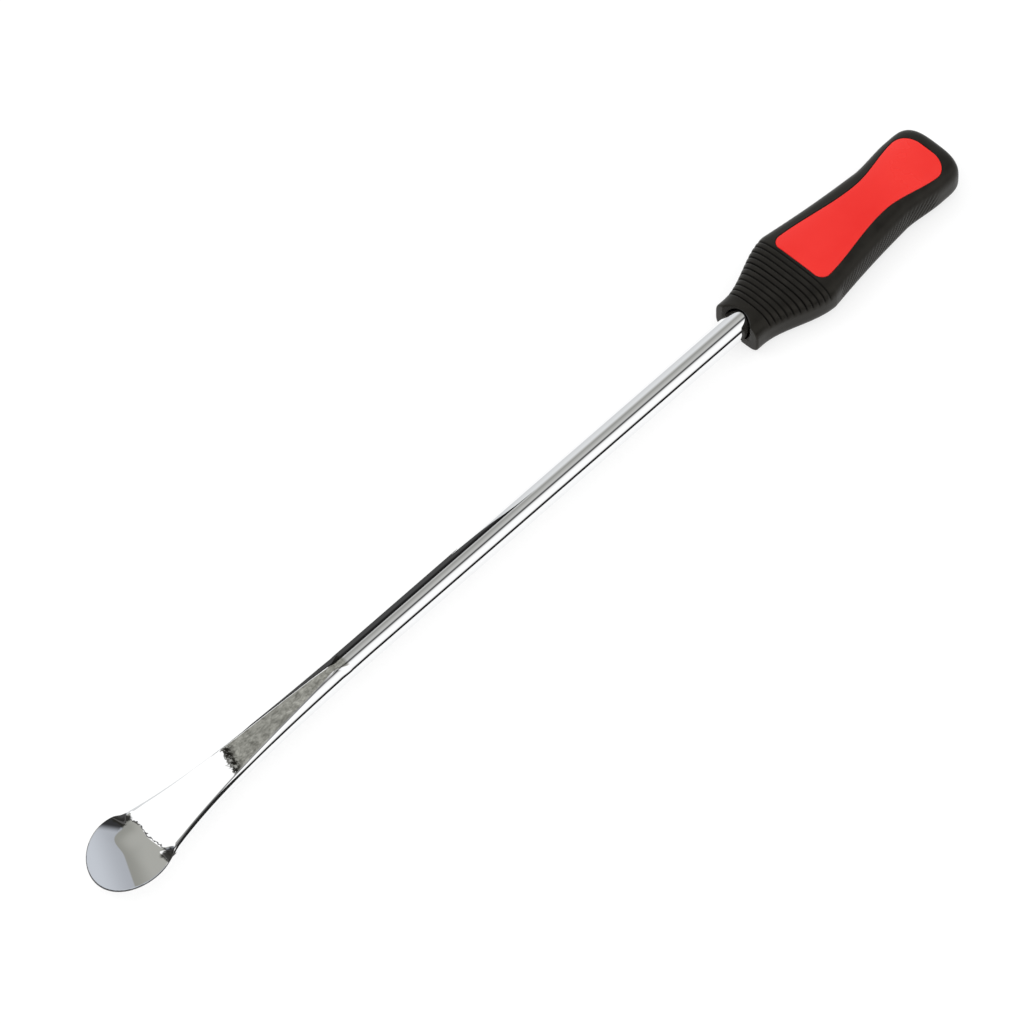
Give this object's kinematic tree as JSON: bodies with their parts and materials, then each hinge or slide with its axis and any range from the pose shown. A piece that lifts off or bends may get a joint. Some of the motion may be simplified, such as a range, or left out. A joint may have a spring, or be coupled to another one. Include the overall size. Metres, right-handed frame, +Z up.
{
  "type": "tyre lever",
  "caption": "Long tyre lever: a round chrome-plated bar forged into a wide downturned spoon, with a flat waisted two-material handle moulded over its tang.",
  "frame": {"origin": "centre of the lever's outline, on the plane that the handle lies on", "axes": "+X along the bar from the spoon's tip to the handle's butt, +Z up out of the spoon's upper face, and Y across the spoon"},
  "size_m": [0.4098, 0.0344, 0.0147],
  "materials": {
    "chrome_bar": "mirror chrome plate over a forged bar, slightly wavy on the forged flat",
    "red_core": "semi-gloss hard red plastic",
    "black_sleeve": "satin soft black overmould with fine ribs"
  },
  "bodies": {
    "root": {"lever_bar": "chrome_bar", "handle_core": "red_core", "grip_sleeve": "black_sleeve"}
  },
  "joints": []
}
